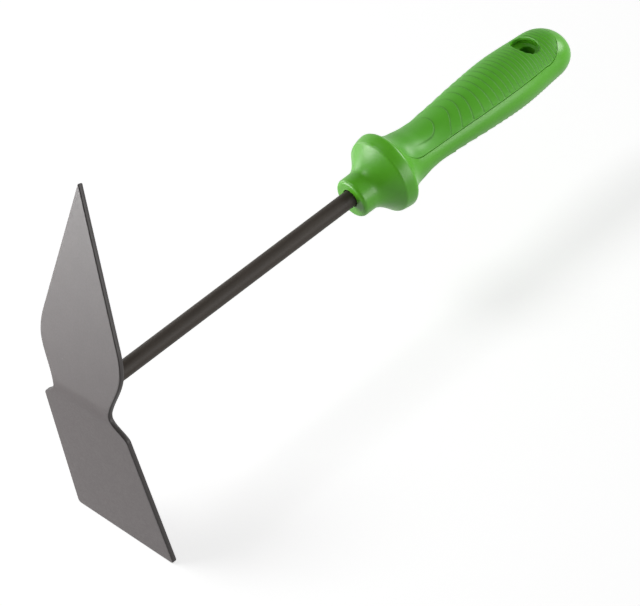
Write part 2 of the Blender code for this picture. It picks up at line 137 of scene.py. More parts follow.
# The bore that the shank goes in by
BORE_SPARE = 0.5 * MM  # between the shank and the bore
BORE_LEAD = 5.0 * MM  # of its cutter before the neck's face
BORE_OVERLAP = 1.0 * MM  # of its cutter with the tang's cavity

# The handle's turned front: place and radius of the corners of its profile
HANDLE_SIDES = 168
FLARE_STEPS = 24
NECK_FACE = HANDLE_LOW.y - AXIS_START.y
NECK_RADIUS = 9.75 * MM
NECK_ROUND = 1.9 * MM
HORN_START = (170.2 * MM, 9.8 * MM)
HORN_EDGE = (180.5 * MM, 18.15 * MM)
HORN_START_SLOPE = 0.18
HORN_EDGE_SLOPE = 1.2
RIM_CORNER = (181.0 * MM, 18.55 * MM)
RIM_FRONT = (181.6 * MM, 18.6 * MM)
RIM_TOP = (186.0 * MM, 19.35 * MM)
RIM_BACK = (187.8 * MM, 18.1 * MM)
RIM_CROWN = 0.12 * MM
RIM_ROUND = 0.3 * MM
FRONT_DROP = 0.9 * MM
FILLET_START = (188.2 * MM, 17.65 * MM)
FILLET_FALL = -11.5 * MM  # how steeply the rim's back drops to the grip
GRIP_START_EASE = 1.6

# The grip, with its stations: place, half width and half height
GRIP_START = 198.0 * MM
BUTT_ROUND_FROM = 284.0 * MM
BUTT_END = HANDLE_HIGH.y - AXIS_START.y
BUTT_FULLNESS = 2.4
BUTT_LEAN = 0.045
GRIP_STATIONS = (
    (GRIP_START, 13.5 * MM, 12.4 * MM),
    (204.0 * MM, 13.25 * MM, 10.95 * MM),
    (212.0 * MM, 13.35 * MM, 10.4 * MM),
    (224.0 * MM, 14.2 * MM, 10.8 * MM),
    (240.0 * MM, 15.75 * MM, 11.9 * MM),
    (262.0 * MM, 16.8 * MM, 12.8 * MM),
    (BUTT_ROUND_FROM, 15.2 * MM, 11.7 * MM),
)

# The inserts' outline and thickness, and the recesses they lie in
INSERT_FRONT = 189.3 * MM
INSERT_FRONT_ROUND = 9.0 * MM
INSERT_FRONT_NARROWING = 0.11
INSERT_BUTT = 293.2 * MM
INSERT_BUTT_ROUND_FROM = 277.0 * MM
INSERT_BUTT_FULLNESS = 2.3
INSERT_WIDTH_SHARE = 0.915
INSERT_LOWEST = 2.9 * MM
INSERT_THICKNESS = 1.9 * MM
INSERT_ROUND = 0.25 * MM
SEAM = 0.1 * MM  # between an insert's side and its recess
BLOCK_REACH = 30.0 * MM
BLOCK_PITCH = 0.8 * MM

# The hanging hole, which narrows to a throat in the middle of the grip
HOLE_SIDES = 120
HOLE_REACH = 20.0 * MM
HOLE_ROUND = 0.6 * MM
HOLE_AT = 278.5 * MM
HOLE_HALF_WIDTH = 8.3 * MM
HOLE_HALF_LENGTH = 5.2 * MM
THROAT_AT = 279.3 * MM
THROAT_HALF_WIDTH = 4.2 * MM
THROAT_HALF_LENGTH = 3.1 * MM
STEP_OUTER = 7.5 * MM
STEP_INNER = 7.0 * MM

# The inserts' meshes, and the bow of their ribs
INSERT_STRIPS = 84
SIDE_TURNS = (25.0, 50.0, 72.0, 90.0)
UNDERSIDE_STRIPS = 20
WIDTH_GUESS = 10.0 * MM
WIDTH_ROUNDS = 8
NARROWEST = 0.02 * MM  # half width of a section
WIDEST_SHARE = 0.99  # of the grip's half width, for the spacing of a section's points
ROUND_SHARE = 0.6  # of a section's half width, at most, is taken by its rounded side
FIRST_STEPS = (0.0, 0.05 * MM, 0.15 * MM, 0.35 * MM)
LAST_STEPS = (0.6 * MM, 0.45 * MM, 0.3 * MM, 0.2 * MM, 0.12 * MM, 0.06 * MM, 0.02 * MM)
FINE_FROM = 207.0 * MM
COARSE_PITCH = 0.45 * MM
FINE_PITCH = 0.17 * MM
FIRST_BOW = 66.0  # drop of a rib towards its ends, in metres per metre of width squared
LAST_BOW = 6.0
LAST_BOW_AT = 246.0 * MM
RELIEF_FROM = 196.0 * MM
RELIEF_FADE = 12.0 * MM
RELIEF_SIDE_FADE = 0.5 * MM
RIB_EASE = 1.5  # above 1, a rib rises slowest behind the wall of the one before
TONGUE_EASE = 3.0

# The stage
WHITE = (1.0, 1.0, 1.0)
LIT_PLACE = (0.0, -0.05, 0.08)
CAMERA_AIM = (49.98 * MM, -50.3 * MM, 87.78 * MM)
LAMPS = (  # name, direction it stands in, distance, width, and whether it lights the floor
    ("overhead", (-0.38, -0.25, 0.89), 1.0, 0.4, True),
    ("front", (-0.7, -0.75, 0.16), 0.65, 0.46, False),
    ("left", (-0.95, -0.1, 0.28), 0.8, 0.45, False),
    ("right", (0.93, 0.3, 0.04), 0.9, 0.8, False),
    ("back", (0.25, 0.88, 0.42), 1.2, 0.6, False),
)


# Settings


def length(label, note, millimetres):
    return FloatProperty(name=label, description=note, default=millimetres * MM, min=0.0,
                         unit="LENGTH", subtype="DISTANCE", precision=4)


def amount(label, note, value):
    return FloatProperty(name=label, description=note, default=value, min=0.0, max=1.0)


def count(label, note, value):
    return IntProperty(name=label, description=note, default=value, min=1, max=2000)


def angle(label, note, degrees):
    return FloatProperty(name=label, description=note, default=math.radians(degrees),
                         unit="ROTATION", subtype="ANGLE")


def power(label, note, watts):
    return FloatProperty(name=label, description=note, default=watts, min=0.0, unit="POWER")


def paint(label, note, red, green, blue):
    return FloatVectorProperty(name=label, description=note, default=(red, green, blue), size=3,
                               min=0.0, max=1.0, subtype="COLOR")


class BladeSettings(bpy.types.PropertyGroup):
    thickness: length("Thickness", "Thickness of the steel plate", 2.4)
    arris: length("Arris", "Radius of the plate's rolled arrises", 0.55)
    bend: angle("Bend", "Angle by which the pointed blade leans towards the handle", 18.0)
    bend_length: length("Bend length", "Length of plate taken up by the bend", 9.0)
    corner: length("Corner", "Radius of the square blade's corners", 2.0)
    coat: paint("Coat", "Grey powder coat on the faces", 0.072, 0.061, 0.061)
    # This colour is painted shade: the arrises and ends are darkened in colour, standing in for the dark
    # surroundings that their rounding reflects.
    cut_edge: paint("Cut edge", "Thinner, darker coat on the cut edges", 0.035, 0.03, 0.029)


class ShankSettings(bpy.types.PropertyGroup):
    radius: length("Radius", "Radius of the round bar", 4.0)
    coat: paint("Coat", "Black coat of the bar", 0.032, 0.025, 0.019)
    weld_leg: length("Weld leg", "Reach of the weld along the plate", 3.6)
    weld_swell: length("Weld swell", "How far the weld's face stands proud", 0.35)
    weld_ripples: count("Weld ripples", "Ripples left by the weld round the bar", 22)
    weld_coat: paint("Weld coat", "Coat over the weld", 0.04, 0.034, 0.03)


class HandleSettings(bpy.types.PropertyGroup):
    shell: paint("Shell", "Hard green plastic of the handle", 0.08, 0.345, 0.01)
    shell_deep: paint("Deep shell", "Darker streaks in the hard plastic", 0.068, 0.315, 0.007)
    grip: paint("Grip", "Softer green plastic of the ribbed inserts", 0.074, 0.335, 0.012)
    # the deep grip colour, at half its value, is also the painted shade in the inserts' grooves
    grip_deep: paint("Deep grip", "Darker streaks in the inserts", 0.062, 0.305, 0.009)


class RibSettings(bpy.types.PropertyGroup):
    tongue_tip: length("Tongue tip", "Place of the rounded end of the raised tongue", 214.6)
    tongue_half_width: length("Tongue half width", "Half width of the raised tongue", 8.5)
    tongue_round: length("Tongue round", "Length of the tongue's rounded end", 8.0)
    first: length("First lip", "Place of the first rib's lip", 224.0)
    last: length("Last lip", "No rib has its lip beyond this place", 291.0)
    wide_pitch: length("Wide pitch", "Distance between ribs near the rim", 5.8)
    fine_pitch: length("Fine pitch", "Distance between ribs near the butt", 2.05)
    close_from: length("Close up from", "Place where the ribs begin to close up", 210.0)
    close_to: length("Close up to", "Place from which the ribs keep the fine pitch", 276.0)
    height: length("Height", "Height of a lip over the foot of the rib that follows it", 0.32)
    drop: length("Drop", "Length of the wall behind a lip", 0.3)
    # width of the band at each rib's foot that is made duller and darkened with painted shade
    groove: length("Groove", "Width of the dull groove behind a lip", 1.1)


class StageSettings(bpy.types.PropertyGroup):
    distance: length("Camera distance", "From the camera to the point it looks at", 1375.0)
    azimuth: angle("Azimuth", "Camera's bearing round the tool, from the square blade's face", 57.205)
    elevation: angle("Elevation", "Camera's height as an angle", 39.25)
    roll: angle("Roll", "Camera turned about its own line of sight", -15.43)
    lens: FloatProperty(name="Lens", description="Focal length on a 36 mm wide sensor",
                        default=179.41, min=1.0, unit="CAMERA")
    floor: paint("Floor", "Pale floor", 0.82, 0.82, 0.82)
    overhead_power: power("Overhead light", "Soft light high over the blade's left", 2.6)
    front_power: power("Front light", "Low soft light before the blade, which puts the sheen on it", 6.5)
    left_power: power("Left light", "Low soft light on the left", 2.0)
    right_power: power("Right light", "Low soft light on the right", 7.5)
    back_power: power("Back light", "Soft light behind the handle's butt", 9.5)
    sky: amount("Sky", "Even light from all round", 0.12)
    lift: amount("Lift", "How much whiter the floor looks than it is lit", 0.76)


class HoeSettings(bpy.types.PropertyGroup):
    blade: PointerProperty(type=BladeSettings)
    shank: PointerProperty(type=ShankSettings)
    handle: PointerProperty(type=HandleSettings)
    ribs: PointerProperty(type=RibSettings)
    stage: PointerProperty(type=StageSettings)


# Shape rules


def smooth_step(t):
    t = min(max(t, 0.0), 1.0)
    return t * t * (3.0 - 2.0 * t)


def superellipse(t, fullness):
    """Falls from 1 at t = 0 to 0 at t = 1, as the side of a rounded end does."""
    return (1.0 - min(max(t, 0.0), 1.0) ** fullness) ** (1.0 / fullness)


def rounding(distance, radius):
    """How far a rounded arris lies under its face, at a distance from its edge."""
    if distance >= radius:
        return 0.0
    inside = radius - max(distance, 0.0)
    return radius - math.sqrt(radius * radius - inside * inside)


def hermite(p0, p1, m0, m1, t):
    """Cubic through p0 and p1 with end slopes m0 and m1, for t from 0 to 1."""
    t2, t3 = t * t, t * t * t
    start = (2 * t3 - 3 * t2 + 1) * p0 + (t3 - 2 * t2 + t) * m0
    end = (3 * t2 - 2 * t3) * p1 + (t3 - t2) * m1
    return start + end


def along(stations, column, y):
    """Smooth value of one column of the stations at y."""
    places = [row[0] for row in stations]
    values = [row[column] for row in stations]

    def slope(k):
        k0, k1 = max(k - 1, 0), min(k + 1, len(places) - 1)
        return (values[k1] - values[k0]) / (places[k1] - places[k0])

    k = 0
    while k < len(places) - 2 and y > places[k + 1]:
        k += 1
    span = places[k + 1] - places[k]
    t = min(max((y - places[k]) / span, 0.0), 1.0)
    return hermite(values[k], values[k + 1], slope(k) * span, slope(k + 1) * span, t)


def steps_between(start, end, pitch):
    """Even places from start to end, about a pitch apart, without the start."""
    number = max(1, round(abs(end - start) / pitch))
    return [start + (end - start) * k / number for k in range(1, number + 1)]


def bow(start, end, sag, steps):
    """Points of a shallow curve between two profile points, raised by sag, without its start."""
    run = (end[0] - start[0], end[1] - start[1])
    reach = math.hypot(*run)
    out = (-run[1] / reach, run[0] / reach)
    points = []
    for k in range(1, steps + 1):
        t = k / steps
        lift = 4.0 * sag * t * (1.0 - t)
        points.append((start[0] + run[0] * t + out[0] * lift,
                       start[1] + run[1] * t + out[1] * lift))
    return points


def corner(start, tip, end, steps):
    """Points of a rounded corner that leaves start and reaches end towards its tip."""
    points = []
    for k in range(1, steps + 1):
        t = k / steps
        shares = ((1.0 - t) ** 2, 2.0 * t * (1.0 - t), t * t)
        points.append(tuple(sum(share * point[axis] for share, point in zip(shares, (start, tip, end)))
                            for axis in (0, 1)))
    return points


# Making meshes


def new_piece(name, points, faces):
    """Mesh object from points about the shank's axis. The object itself stays at the origin."""
    mesh = bpy.data.meshes.new(name)
    mesh.from_pydata([AXIS_START + Vector(point) for point in points], [], faces)
    turn_outwards(mesh)
    piece = bpy.data.objects.new(name, mesh)
    bpy.context.scene.collection.objects.link(piece)
    return piece


def turns(sides):
    return [2.0 * math.pi * j / sides for j in range(sides)]


def oval(half_width, half_height, y, sides, drop=0.0):
    """Section of a piece at y, as much under the axis as it drops."""
    return [(half_width * math.cos(a), y, half_height * math.sin(a) - drop) for a in turns(sides)]


def turn_outwards(mesh):
    work = bmesh.new()
    work.from_mesh(mesh)
    bmesh.ops.recalc_face_normals(work, faces=work.faces)
    work.to_mesh(mesh)
    work.free()


def skin(rings, closed=False):
    """Joins rings of equally many points. Unless the last ring meets the first, both ends are capped."""
    points = [point for ring in rings for point in ring]
    sides, faces = len(rings[0]), []
    for k in range(len(rings) if closed else len(rings) - 1):
        here, there = k * sides, (k + 1) % len(rings) * sides
        for j in range(sides):
            turn = (j + 1) % sides
            faces.append((here + j, here + turn, there + turn, there + j))
    if not closed:
        faces.append(tuple(reversed(range(sides))))
        faces.append(tuple(range(len(points) - sides, len(points))))
    return points, faces


def settle(piece):
    """Turns a piece and its modifiers into one plain mesh."""
    graph = bpy.context.evaluated_depsgraph_get()
    solid = bpy.data.meshes.new_from_object(piece.evaluated_get(graph), depsgraph=graph)
    worn = piece.data
    piece.modifiers.clear()
    piece.data = solid
    solid.name = piece.name
    bpy.data.meshes.remove(worn)


def cut(piece, cutter):
    """Takes a cutter's form out of a piece, and the cutter away."""
    modifier = piece.modifiers.new("Cut", "BOOLEAN")
    modifier.operation = "DIFFERENCE"
    modifier.solver = "MANIFOLD"
    modifier.object = cutter
    settle(piece)
    bpy.data.objects.remove(cutter, do_unlink=True)


def finish_piece(piece, finish, node, sharp=40.0):
    """Shades a piece, gives it its finish and puts it in the place of its CAD node."""
    piece.data.shade_smooth()
    piece.data.set_sharp_from_angle(angle=math.radians(sharp))
    piece.data.materials.clear()
    piece.data.materials.append(finish)
    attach(piece, "root")
    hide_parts(node)


# Joining nodes


def feed(socket, value):
    """Joins an input to another node's output, or gives it a value. A colour needs no alpha."""
    if isinstance(value, bpy.types.NodeSocket):
        socket.id_data.links.new(value, socket)
    elif socket.type == "RGBA":
        socket.default_value = (*value[:3], 1.0)
    else:
        socket.default_value = value


def add_node(tree, kind, inputs=None, **settings):
    made = tree.nodes.new(kind)
    for title, value in settings.items():
        setattr(made, title, value)
    for title, value in (inputs or {}).items():
        feed(made.inputs[title], value)
    return made


def maths(tree, operation, *values, clamp=False):
    """Output of a new node that works on values and outputs."""
    made = add_node(tree, "ShaderNodeMath", dict(enumerate(values)), operation=operation, use_clamp=clamp)
    return made.outputs[0]


# The plate


def taper_half_width(t):
    return (POINT_APEX_AT - t) * POINT_TAPER


def point_half_width(t):
    """Half width of the pointed blade, t along it from the bend line."""
    if t <= POINT_WIDEST_AT:
        rise = smooth_step((t - NECK_AT) / (POINT_WIDEST_AT - NECK_AT)) ** POINT_SWELL_EASE
        return NECK_HALF_WIDTH + (POINT_HALF_WIDTH - NECK_HALF_WIDTH) * rise
    if t <= POINT_TAPER_FROM:
        span = POINT_TAPER_FROM - POINT_WIDEST_AT
        end = taper_half_width(POINT_TAPER_FROM)
        return hermite(POINT_HALF_WIDTH, end, 0.0, -POINT_TAPER * span, (t - POINT_WIDEST_AT) / span)
    centre = POINT_LENGTH - POINT_TIP_RADIUS
    if t <= centre:
        return taper_half_width(t)
    rounded = math.sqrt(max(POINT_TIP_RADIUS ** 2 - (t - centre) ** 2, 0.0))
    return min(taper_half_width(t), rounded)


def square_half_width(t, corner_radius):
    """Half width of the square blade, t along it from the bend line towards the cutting edge."""
    if t < SHOULDER_AT:
        rise = smooth_step((t + NECK_AT) / (SHOULDER_AT + NECK_AT)) ** SHOULDER_EASE
        return NECK_HALF_WIDTH + (SHOULDER_HALF_WIDTH - NECK_HALF_WIDTH) * rise
    share = (t - SHOULDER_AT) / (SQUARE_LENGTH - SHOULDER_AT)
    side = SHOULDER_HALF_WIDTH + (EDGE_HALF_WIDTH - SHOULDER_HALF_WIDTH) * share
    return side - rounding(SQUARE_LENGTH - t, corner_radius)


def blade_half_width(t, blade):
    return square_half_width(-t, blade.corner) if t < 0.0 else point_half_width(t)


def plate_place(t, depth, blade):
    """Y and Z of a point of the bent plate, t along it (up is positive) and depth behind its front."""
    half = blade.bend_length / 2.0
    if t <= -half:
        return depth, t
    turn = blade.bend * min((t + half) / blade.bend_length, 1.0)
    radius = blade.bend_length / blade.bend
    straight = max(t - half, 0.0)
    y = radius * (1.0 - math.cos(turn)) + straight * math.sin(turn)
    z = -half + radius * math.sin(turn) + straight * math.cos(turn)
    return y + depth * math.cos(turn), z - depth * math.sin(turn)


def plate_back(z, blade, gap):
    """Y of the plate's back, and a gap behind it, at a height near the bend."""
    low, high = -2.0 * blade.bend_length, 2.0 * blade.bend_length
    for _ in range(HALVINGS):
        middle = (low + high) / 2.0
        if plate_place(middle, blade.thickness + gap, blade)[1] < z:
            low = middle
        else:
            high = middle
    return plate_place(low, blade.thickness + gap, blade)[0]


def blade_ring(t, blade):
    """Section of the plate across X with rounded arrises: its points, and whether each gets the edge's
    painted shade.
    """
    half = blade_half_width(t, blade)
    probe = 0.2 * MM
    slope = (blade_half_width(t + probe, blade) - blade_half_width(t - probe, blade)) / (2.0 * probe)
    reach = min(SQUARE_LENGTH + t, POINT_LENGTH - t)
    thin = min(rounding(reach, blade.arris), blade.arris)
    run = min(blade.arris * math.sqrt(1.0 + min(slope * slope, STEEPEST ** 2)), ARRIS_SHARE * half)
    flat = half - run
    points, edges = [], []
    for side in (1.0, -1.0):
        for k in range(FACE_STRIPS + 1):
            share = 2.0 * k / FACE_STRIPS - 1.0
            x = side * flat * math.copysign(1.0 - (1.0 - abs(share)) ** FACE_CROWDING, share)
            depth = thin if side > 0.0 else blade.thickness - thin
            points.append((x, *plate_place(t, depth, blade)))
            # face points near the plate's ends take the painted edge shade too
            edges.append(1.0 if reach < EDGE_SHADE_SHARE * blade.arris else 0.0)
        corners = [(thin, blade.arris), (blade.thickness - thin, blade.thickness - blade.arris)]
        if side < 0.0:
            corners.reverse()
        for number, (face, wall) in enumerate(corners):
            for k in range(1, ARRIS_STEPS + 1):
                turn = math.radians(90.0 * k / ARRIS_STEPS)
                if number == 1:
                    turn = math.radians(90.0) - turn
                x = flat + run * math.sin(turn)
                depth = wall + (face - wall) * math.cos(turn)
                if number == 0 or k < ARRIS_STEPS:
                    points.append((side * x, *plate_place(t, depth, blade)))
                    # every arris point takes the painted edge shade
                    edges.append(1.0)
    return points, edges


def make_blade(blade):
    corners = [blade.corner * (1.0 - math.cos(math.radians(turn))) for turn in range(0, 91, 10)]
    arris = [blade.arris * (1.0 - math.cos(math.radians(turn))) for turn in range(0, 90, 15)]
    start = sorted(set(round(step, 7) for step in corners + arris))
    places = [-SQUARE_LENGTH + step for step in start]
    places += steps_between(places[-1], -SHOULDER_AT - WAIST_MARGIN, PLATE_PITCH)
    places += steps_between(places[-1], POINT_TAPER_FROM, WAIST_PITCH)
    centre = POINT_LENGTH - POINT_TIP_RADIUS
    places += steps_between(places[-1], centre, PLATE_PITCH)
    places += [centre + POINT_TIP_RADIUS * math.sin(math.radians(turn)) for turn in range(10, 90, 10)]
    places.append(POINT_LENGTH - TIP_FLAT)
    rings, edges = [], []
    for t in places:
        points, ring_edges = blade_ring(t, blade)
        rings.append(points)
        edges += ring_edges
    piece = new_piece("blade_finished", *skin(rings))
    # stores where the painted edge shade goes
    layer = piece.data.attributes.new("cut_edge", "FLOAT", "POINT")
    layer.data.foreach_set("value", edges)
    return piece


# The shank and its weld


def tang_rings(radius, spare):
    """Sections of the tang from its first pinch to its end, wider by what the cavity has to spare."""
    def section(y, half_width, half_height):
        return oval(half_width + spare, half_height + spare, y, SHANK_SIDES)

    rings = []
    for middle in PINCHES:
        for k in range(-PINCH_STEPS, PINCH_STEPS + 1):
            place = k / PINCH_STEPS
            pinch = 1.0 - smooth_step((abs(place) - PINCH_FLAT_SHARE) / (1.0 - PINCH_FLAT_SHARE))
            rings.append(section(middle + place * PINCH_LENGTH / 2.0,
                                 radius + (PINCH_HALF_WIDTH - radius) * pinch,
                                 radius + (PINCH_HALF_HEIGHT - radius) * pinch))
    rings.append(section(SHANK_END + spare - SHANK_CHAMFER, radius, radius))
    rings.append(section(SHANK_END + spare, radius - SHANK_CHAMFER, radius - SHANK_CHAMFER))
    return rings


def make_shank(shank, blade):
    radius = shank.radius
    ring = [(radius * math.cos(a), radius * math.sin(a)) for a in turns(SHANK_SIDES)]
    rings = [[(x, plate_back(z, blade, TOUCHING), z) for x, z in ring]]
    foot = max(point[1] for point in rings[0])
    for y in steps_between(foot, NECK_FACE + TANG_START, SHANK_PITCH):
        rings.append([(x, y, z) for x, z in ring])
    return new_piece("shank_finished", *skin(rings + tang_rings(radius, 0.0)))


def weld_profile(a, shank, blade):
    """Section of the weld at an angle round the shank, from its toe on the plate to its crest."""
    inner = shank.radius + TOUCHING
    wobble = sum(size * math.sin(waves * a + phase) for waves, phase, size in WELD_WOBBLES)
    toe = inner + shank.weld_leg + wobble
    lip = inner + WELD_LIP
    crest = plate_back(inner * math.sin(a), blade, 0.0) + shank.weld_leg + wobble
    points = []
    for k in range(WELD_STEPS + 1):
        q = k / WELD_STEPS
        r = toe + (lip - toe) * q
        y = plate_back(r * math.sin(a), blade, TOUCHING)
        y += (crest - y) * q
        belly = 4.0 * q * (1.0 - q)
        turned = (a / (2.0 * math.pi) * shank.weld_ripples + RIPPLE_LAG * belly) % 1.0
        ripple = superellipse(turned, RIPPLE_FULLNESS) * RIPPLE_HEIGHT * min(1.0, 3.0 * belly)
        swell = (shank.weld_swell * belly + ripple) * SWELL_SHARE
        points.append((r + swell, y + swell))
    points.append((inner, crest))
    points.append((inner, plate_back(inner * math.sin(a), blade, TOUCHING)))
    return [(r * math.cos(a), y, r * math.sin(a)) for r, y in points]


def make_weld(shank, blade):
    sections = [weld_profile(a, shank, blade) for a in turns(WELD_SIDES)]
    return new_piece("weld_finished", *skin(sections, closed=True))


# The handle


def turned_profile():
    """(y, radius) points of the handle from its neck to the fillet behind its rim."""
    points = [(NECK_FACE, NECK_RADIUS - NECK_ROUND)]
    for turn in range(10, 91, 10):
        a = math.radians(turn)
        points.append((NECK_FACE + NECK_ROUND * (1.0 - math.cos(a)),
                       NECK_RADIUS - NECK_ROUND + NECK_ROUND * math.sin(a)))
    points += bow(points[-1], HORN_START, 0.0, steps=4)
    reach = HORN_EDGE[0] - HORN_START[0]
    slopes = (HORN_START_SLOPE * reach, HORN_EDGE_SLOPE * reach)
    for k in range(1, FLARE_STEPS + 1):
        t = k / FLARE_STEPS
        points.append((HORN_START[0] + reach * t, hermite(HORN_START[1], HORN_EDGE[1], *slopes, t)))
    points += corner(HORN_EDGE, RIM_CORNER, RIM_FRONT, steps=6)
    points += bow(RIM_FRONT, RIM_TOP, RIM_CROWN, steps=6)
    points += bow(RIM_TOP, RIM_BACK, RIM_ROUND, steps=8)
    return points


def turned_ring(y, radius):
    """Section of the handle's turned front, which lies a little under the grip's middle line."""
    drop = FRONT_DROP * (1.0 - smooth_step((y - HORN_START[0]) / (RIM_BACK[0] - HORN_START[0])))
    return oval(radius, radius, y, HANDLE_SIDES, drop)


def grip_half_sizes(y):
    """Half width and half height of the handle at y, from the fillet behind the rim to the butt."""
    if y < GRIP_START:
        place, radius = FILLET_START
        t = (y - place) / (GRIP_START - place)
        sizes = []
        for column in (1, 2):
            start = GRIP_STATIONS[0][column]
            slope = (GRIP_STATIONS[1][column] - start) * GRIP_START_EASE
            sizes.append(hermite(radius, start, FILLET_FALL, slope, t))
        return sizes
    width = along(GRIP_STATIONS, 1, min(y, BUTT_ROUND_FROM))
    height = along(GRIP_STATIONS, 2, min(y, BUTT_ROUND_FROM))
    if y > BUTT_ROUND_FROM:
        t = (y - BUTT_ROUND_FROM) / (BUTT_END - BUTT_ROUND_FROM)
        share = superellipse(t, BUTT_FULLNESS) * (1.0 - BUTT_LEAN * t)
        return [width * share, height * share]
    return [width, height]


def insert_half_width(y):
    """Half width, in plan, of an insert's outline at y."""
    if y > INSERT_BUTT_ROUND_FROM:
        t = (y - INSERT_BUTT_ROUND_FROM) / (INSERT_BUTT - INSERT_BUTT_ROUND_FROM)
        widest = INSERT_WIDTH_SHARE * grip_half_sizes(INSERT_BUTT_ROUND_FROM)[0]
        return widest * superellipse(t, INSERT_BUTT_FULLNESS)
    side = INSERT_WIDTH_SHARE * grip_half_sizes(max(y, GRIP_START))[0]
    t = min((y - INSERT_FRONT) / INSERT_FRONT_ROUND, 1.0)
    return side * (1.0 - INSERT_FRONT_NARROWING * (1.0 - t) ** 2)


def handle_places(start, pitch, last_turn):
    """Places of sections from start to the butt, closer together where the butt turns in."""
    places = [start, *steps_between(start, BUTT_ROUND_FROM, pitch)]
    for turn in range(3, last_turn + 1, 3):
        places.append(BUTT_ROUND_FROM + (BUTT_END - BUTT_ROUND_FROM) * math.sin(math.radians(turn)))
    return places


def recess_floor(inset):
    """The grip's form shrunk by an inset."""
    rings = []
    for y in handle_places(FILLET_START[0], pitch=2.0 * MM, last_turn=75):
        width, height = grip_half_sizes(y)
        rings.append(oval(width - inset, height - inset, y, HANDLE_SIDES))
    return new_piece("recess_floor", *skin(rings))


def recess_block(side, growth):
    """Upright block with an insert's outline, on the upper (1) or lower (-1) side of the handle."""
    places = [INSERT_FRONT, *steps_between(INSERT_FRONT, INSERT_BUTT_ROUND_FROM, BLOCK_PITCH)]
    reach = INSERT_BUTT - INSERT_BUTT_ROUND_FROM
    places += [INSERT_BUTT_ROUND_FROM + reach * math.sin(math.radians(turn)) for turn in range(4, 89, 4)]
    right = [(insert_half_width(y) + growth, y) for y in places]
    right[0] = (right[0][0], right[0][1] - growth)
    right[-1] = (right[-1][0], right[-1][1] + growth)
    outline = right + [(-x, y) for x, y in reversed(right)]
    levels = (side * (INSERT_LOWEST - growth), side * BLOCK_REACH)
    return new_piece("recess", *skin([[(x, y, z) for x, y in outline] for z in levels]))


def hole_form():
    """Form of the hanging hole: wide at both faces, stepped down to a throat in the middle."""
    wide = (HOLE_AT, HOLE_HALF_WIDTH, HOLE_HALF_LENGTH)
    narrow = (THROAT_AT, THROAT_HALF_WIDTH, THROAT_HALF_LENGTH)
    levels = [(-HOLE_REACH, wide), (-STEP_OUTER, wide), (-STEP_INNER, narrow),
              (STEP_INNER, narrow), (STEP_OUTER, wide), (HOLE_REACH, wide)]
    rings = [[(half_width * math.cos(a), middle + half_length * math.sin(a), z)
              for a in turns(HOLE_SIDES)] for z, (middle, half_width, half_length) in levels]
    return new_piece("hanging_hole", *skin(rings))


def make_handle(shank):
    rings = [turned_ring(y, radius) for y, radius in turned_profile()]
    for y in handle_places(FILLET_START[0], pitch=0.9 * MM, last_turn=87):
        rings.append(oval(*grip_half_sizes(y), y, HANDLE_SIDES))
    handle = new_piece("handle_finished", *skin(rings))

    cut(handle, new_piece("tang_cavity", *skin(tang_rings(shank.radius, CLEARANCE))))
    mouth = shank.radius + BORE_SPARE
    ends = (NECK_FACE - BORE_LEAD, PINCHES[0] - PINCH_LENGTH / 2.0 + BORE_OVERLAP)
    bore = [oval(mouth, mouth, y, SHANK_SIDES) for y in ends]
    cut(handle, new_piece("bore_mouth", *skin(bore)))
    for side in (1.0, -1.0):
        recess = recess_block(side, SEAM)
        cut(recess, recess_floor(INSERT_THICKNESS + CLEARANCE))
        cut(handle, recess)
    cut(handle, hole_form())
    return handle


# The ribbed inserts


def rib_bow(place, ribs):
    """How strongly a section at this place is bowed: most at the tongue's tip, little near the butt."""
    if place <= ribs.tongue_tip:
        start = RIM_BACK[0]
        return FIRST_BOW * smooth_step((place - start) / (ribs.tongue_tip - start))
    easing = smooth_step((place - ribs.tongue_tip) / (LAST_BOW_AT - ribs.tongue_tip))
    return FIRST_BOW + (LAST_BOW - FIRST_BOW) * easing


def grip_point(x, y, inset=0.0):
    """Height of the grip's upper face over the middle plane, at x and y."""
    width, height = grip_half_sizes(y)
    share = max(1.0 - (x / max(width - inset, 0.1 * MM)) ** 2, 0.0)
    return (height - inset) * math.sqrt(share)


def grip_normal(x, y):
    """Outward direction of the grip's upper face."""
    width, height = grip_half_sizes(y)
    probe = 0.1 * MM
    width_after, height_after = grip_half_sizes(y + probe)
    z = grip_point(x, y)
    spread = x * x * (width_after - width) / width ** 3 + z * z * (height_after - height) / height ** 3
    return Vector((x / width ** 2, -spread / probe, z / height ** 2)).normalized()


def hole_distance(x, y):
    """Distance of a point in plan from the edge of the hanging hole."""
    across, over = x / HOLE_HALF_WIDTH, (y - HOLE_AT) / HOLE_HALF_LENGTH
    far = math.hypot(across, over)
    return (far - 1.0) * math.hypot(x, y - HOLE_AT) / max(far, 0.01)


def tongue_distance(x, y, ribs):
    """Distance outside the edge of the raised tongue, negative inside it."""
    rounded = max(y - (ribs.tongue_tip - ribs.tongue_round), 0.0) / ribs.tongue_round
    side = abs(x) / ribs.tongue_half_width
    far = (rounded ** 2.0 + side ** 2.0) ** 0.5
    scale = ribs.tongue_half_width if rounded <= 0.0 else min(ribs.tongue_half_width, ribs.tongue_round)
    return (far - 1.0) * scale


def insert_places():
    """Places of an insert's rows: wide apart by the rim, close together where the ribs are."""
    places = [INSERT_FRONT + step for step in FIRST_STEPS]
    places += steps_between(places[-1], FINE_FROM, COARSE_PITCH)
    places += steps_between(places[-1], INSERT_BUTT - LAST_STEPS[0], FINE_PITCH)
    places += [INSERT_BUTT - step for step in LAST_STEPS[1:]]
    return places


